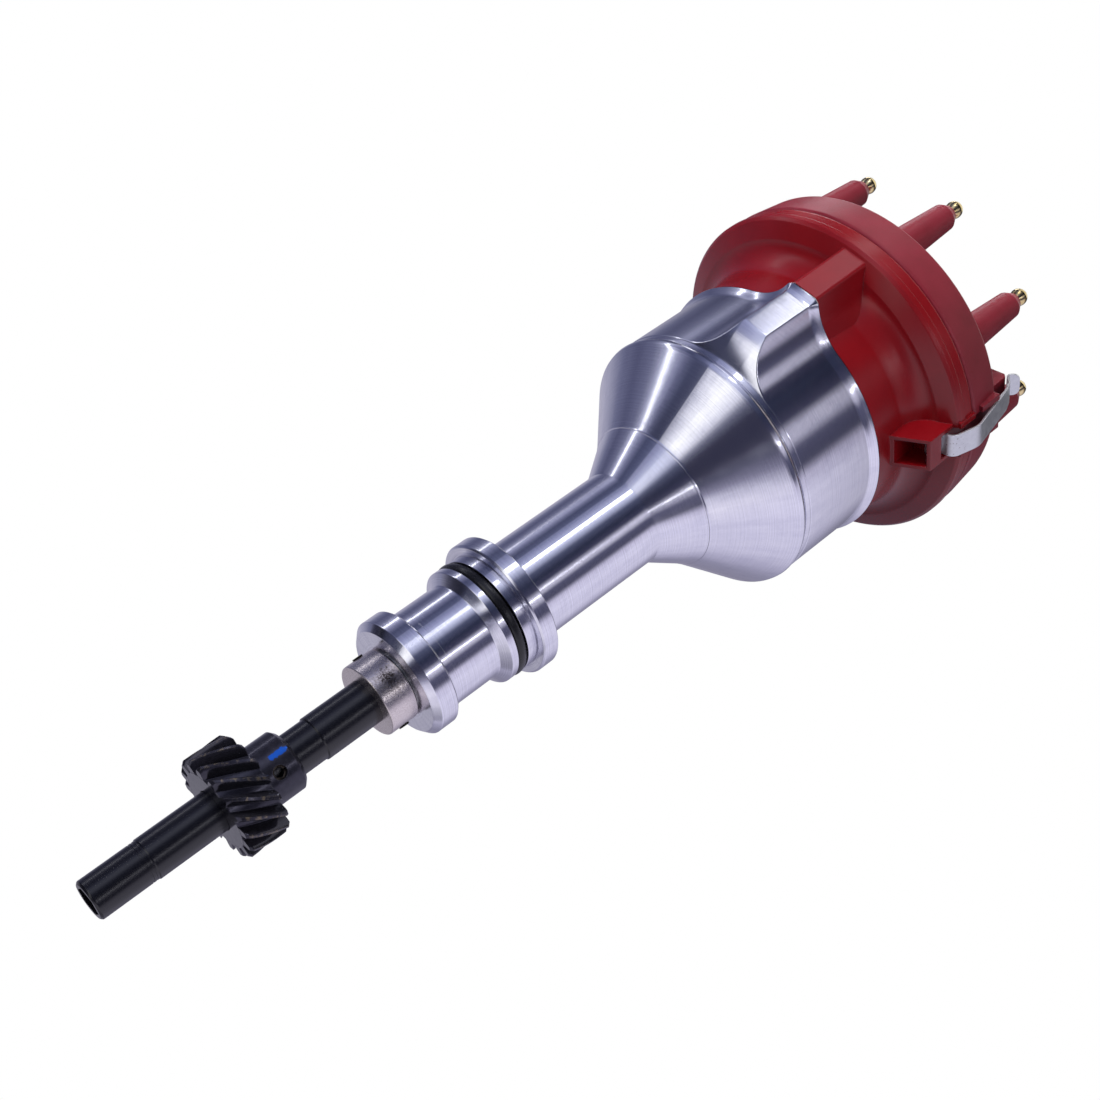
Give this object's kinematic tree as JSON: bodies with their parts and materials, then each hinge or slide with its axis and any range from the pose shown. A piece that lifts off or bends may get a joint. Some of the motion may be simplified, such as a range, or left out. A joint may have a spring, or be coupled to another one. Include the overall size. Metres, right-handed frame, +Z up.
{
  "type": "ignition distributor",
  "caption": "Gear-driven ignition distributor: turned billet housing with milled ears, pinned helical gear, clipped deep-red cap with ball-top lead towers.",
  "frame": {"origin": "on the shaft axis, in the plane of the hold-down flange's underside, where the distributor sits on the engine", "axes": "+Z up along the shaft from the gear to the cap; the two milled ears lie on -Y and +Y; the cap clips are 18 degrees clockwise of +X and -X seen from the cap"},
  "size_m": [0.117, 0.1142, 0.336],
  "materials": {
    "billet_aluminium": "turned and milled billet, bright, with fine tool lines",
    "seal_rubber": "smooth moulded black rubber",
    "bronze": "sintered oil-filled bronze",
    "bearing_steel": "ground bright steel",
    "spring_steel": "bright plated spring steel",
    "plated_steel": "zinc-plated steel",
    "black_plastic": "moulded black plastic",
    "oxide_steel": "black-oxide steel, smooth",
    "gear_iron": "dark phosphated gear, tooth lands slightly worn",
    "pin_steel": "dark spring-steel pin",
    "nickel": "mottled nickel plate",
    "rotor_plastic": "moulded red plastic",
    "red_plastic": "semi-matte moulded deep red plastic",
    "brass": "polished brass",
    "carbon": "matte sintered carbon"
  },
  "bodies": {
    "housing": {"housing": "billet_aluminium", "housing_o_ring": "seal_rubber", "lower_bushing": "bronze", "bearing_outer_race": "bearing_steel", "bearing_balls": "bearing_steel", "bearing_shields": "bearing_steel", "bearing_snap_ring": "spring_steel", "pickup_plate": "plated_steel", "pickup_screws": "plated_steel", "pickup_pole": "plated_steel", "pickup_coil": "black_plastic", "harness_grommet": "seal_rubber", "cap_adapter": "red_plastic", "adapter_screws": "plated_steel", "distributor_cap": "red_plastic", "spark_terminals": "brass", "coil_terminal": "brass", "button_spring": "spring_steel", "clip_pins": "pin_steel"},
    "shaft": {"drive_shaft": "oxide_steel", "bearing_inner_race": "bearing_steel", "drive_gear": "gear_iron", "gear_roll_pin": "pin_steel", "thrust_collar": "nickel", "collar_roll_pin": "pin_steel", "thrust_washer": "plated_steel", "advance_cam": "plated_steel", "cam_screw": "oxide_steel"},
    "advance": {"advance_sleeve": "plated_steel", "weight_plate": "plated_steel", "weight_pins": "plated_steel", "weight_clips": "spring_steel", "reluctor_wheel": "plated_steel", "advance_stop": "bronze", "stop_screw": "oxide_steel", "advance_springs": "spring_steel", "rotor_posts": "plated_steel", "rotor": "rotor_plastic", "rotor_screws": "plated_steel", "rotor_blade": "brass", "rotor_contact_spring": "brass"},
    "weight_a": {"advance_weight_a": "plated_steel"},
    "weight_b": {"advance_weight_b": "plated_steel"},
    "button": {"carbon_button": "carbon"},
    "clip_right": {"cap_clip_right": "spring_steel"},
    "clip_left": {"cap_clip_left": "spring_steel"}
  },
  "joints": [
    {"name": "shaft_spin", "type": "hinge", "parent": "housing", "child": "shaft", "pos_m": [0, 0, 0], "axis": [0, 0, 1], "continuous": true},
    {"name": "advance_turn", "type": "hinge", "parent": "shaft", "child": "advance", "pos_m": [0, 0, 0.105], "axis": [0, 0, 1], "range_deg": [0, 10.5], "stiffness_Nm_per_rad": 0.5},
    {"name": "weight_a_swing", "type": "hinge", "parent": "advance", "child": "weight_a", "pos_m": [0.021, 0, 0.1085], "axis": [0, 0, -1], "range_deg": [0, 12]},
    {"name": "weight_b_swing", "type": "hinge", "parent": "advance", "child": "weight_b", "pos_m": [-0.021, 0, 0.1085], "axis": [0, 0, -1], "range_deg": [0, 12]},
    {"name": "button_slide", "type": "slide", "parent": "housing", "child": "button", "axis": [0, 0, 1], "range_m": [0, 0.0012], "stiffness_N_per_m": 400, "deforming": ["button_spring"]},
    {"name": "clip_right_swing", "type": "hinge", "parent": "housing", "child": "clip_right", "pos_m": [0.04831, -0.0157, 0.1386], "axis": [0.309, 0.9511, 0], "range_deg": [0, 24]},
    {"name": "clip_left_swing", "type": "hinge", "parent": "housing", "child": "clip_left", "pos_m": [-0.04831, 0.0157, 0.1386], "axis": [-0.309, -0.9511, 0], "range_deg": [0, 24]}
  ],
  "couplings": [
    {"joint": "weight_a_swing", "follows": "advance_turn", "ratio": 1.1429},
    {"joint": "weight_b_swing", "follows": "advance_turn", "ratio": 1.1429}
  ]
}
